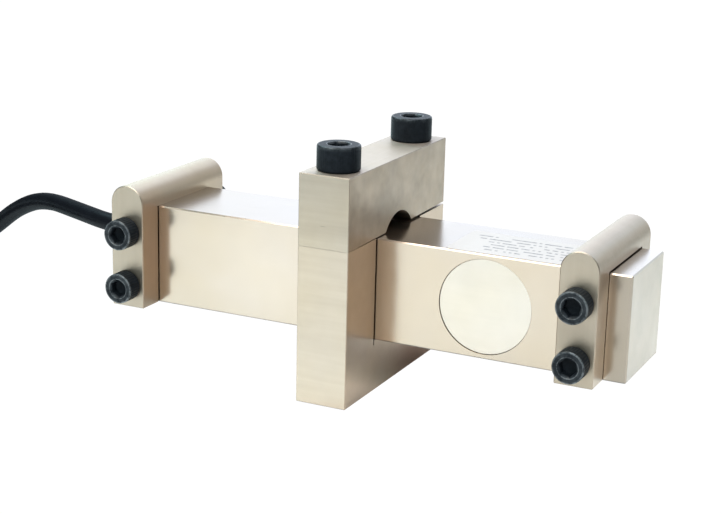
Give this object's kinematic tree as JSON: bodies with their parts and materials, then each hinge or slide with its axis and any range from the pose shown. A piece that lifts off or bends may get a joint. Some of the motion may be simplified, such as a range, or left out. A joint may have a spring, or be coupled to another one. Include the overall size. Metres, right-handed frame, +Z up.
{
  "type": "wire rope load cell",
  "caption": "Rope-tension load cell: a steel bar with half-round saddles at its ends and a clamp at its middle that bends a wire rope across it, with a signal cable.",
  "frame": {"origin": "centre of the clamp yoke's underside, which is the foot it stands on", "axes": "+X along the bar away from the cable end, +Y from the gauge cover's face to the rear, +Z up through the clamp cap"},
  "size_m": [0.389, 0.1028, 0.0807],
  "materials": {
    "nickel_bar": "satin nickel plate, lightly warm",
    "nickel_clamp": "satin nickel plate over ground faces",
    "nickel_saddle": "satin nickel plate",
    "nickel_cover": "matt nickel plate",
    "black_oxide": "oiled black oxide",
    "seal_rubber": "matt",
    "gauge_film": "clear amber film",
    "board_green": "solder-mask green",
    "core_insulation": "satin",
    "gland_metal": "bright nickel plate",
    "label_film": "satin white film with grey bars",
    "cable_jacket": "smooth gloss jacket",
    "tie_plastic": "matt black",
    "sleeve_plastic": "shrink sleeve",
    "lead_red": "satin",
    "lead_black": "satin",
    "lead_green": "satin",
    "lead_white": "satin",
    "tinned_copper": "bright tin"
  },
  "bodies": {
    "root": {"load_bar": "nickel_bar", "clamp_yoke": "nickel_clamp", "clamp_cap": "nickel_clamp", "clamp_screws": "black_oxide", "rope_saddle_left": "nickel_saddle", "rope_saddle_right": "nickel_saddle", "saddle_screws_left": "black_oxide", "saddle_screws_right": "black_oxide", "gauge_cover": "nickel_cover", "cover_seal": "seal_rubber", "strain_gauges": "gauge_film", "terminal_board": "board_green", "bridge_wires": "core_insulation", "gland_screw": "gland_metal", "gland_washer": "gland_metal", "gland_seal": "seal_rubber", "rating_label": "label_film", "signal_cable": "cable_jacket", "cable_coil": "cable_jacket", "cable_tail": "cable_jacket", "coil_ties": "tie_plastic", "end_sleeve": "sleeve_plastic", "lead_red": "lead_red", "lead_black": "lead_black", "lead_green": "lead_green", "lead_white": "lead_white", "lead_tips": "tinned_copper"}
  },
  "joints": []
}
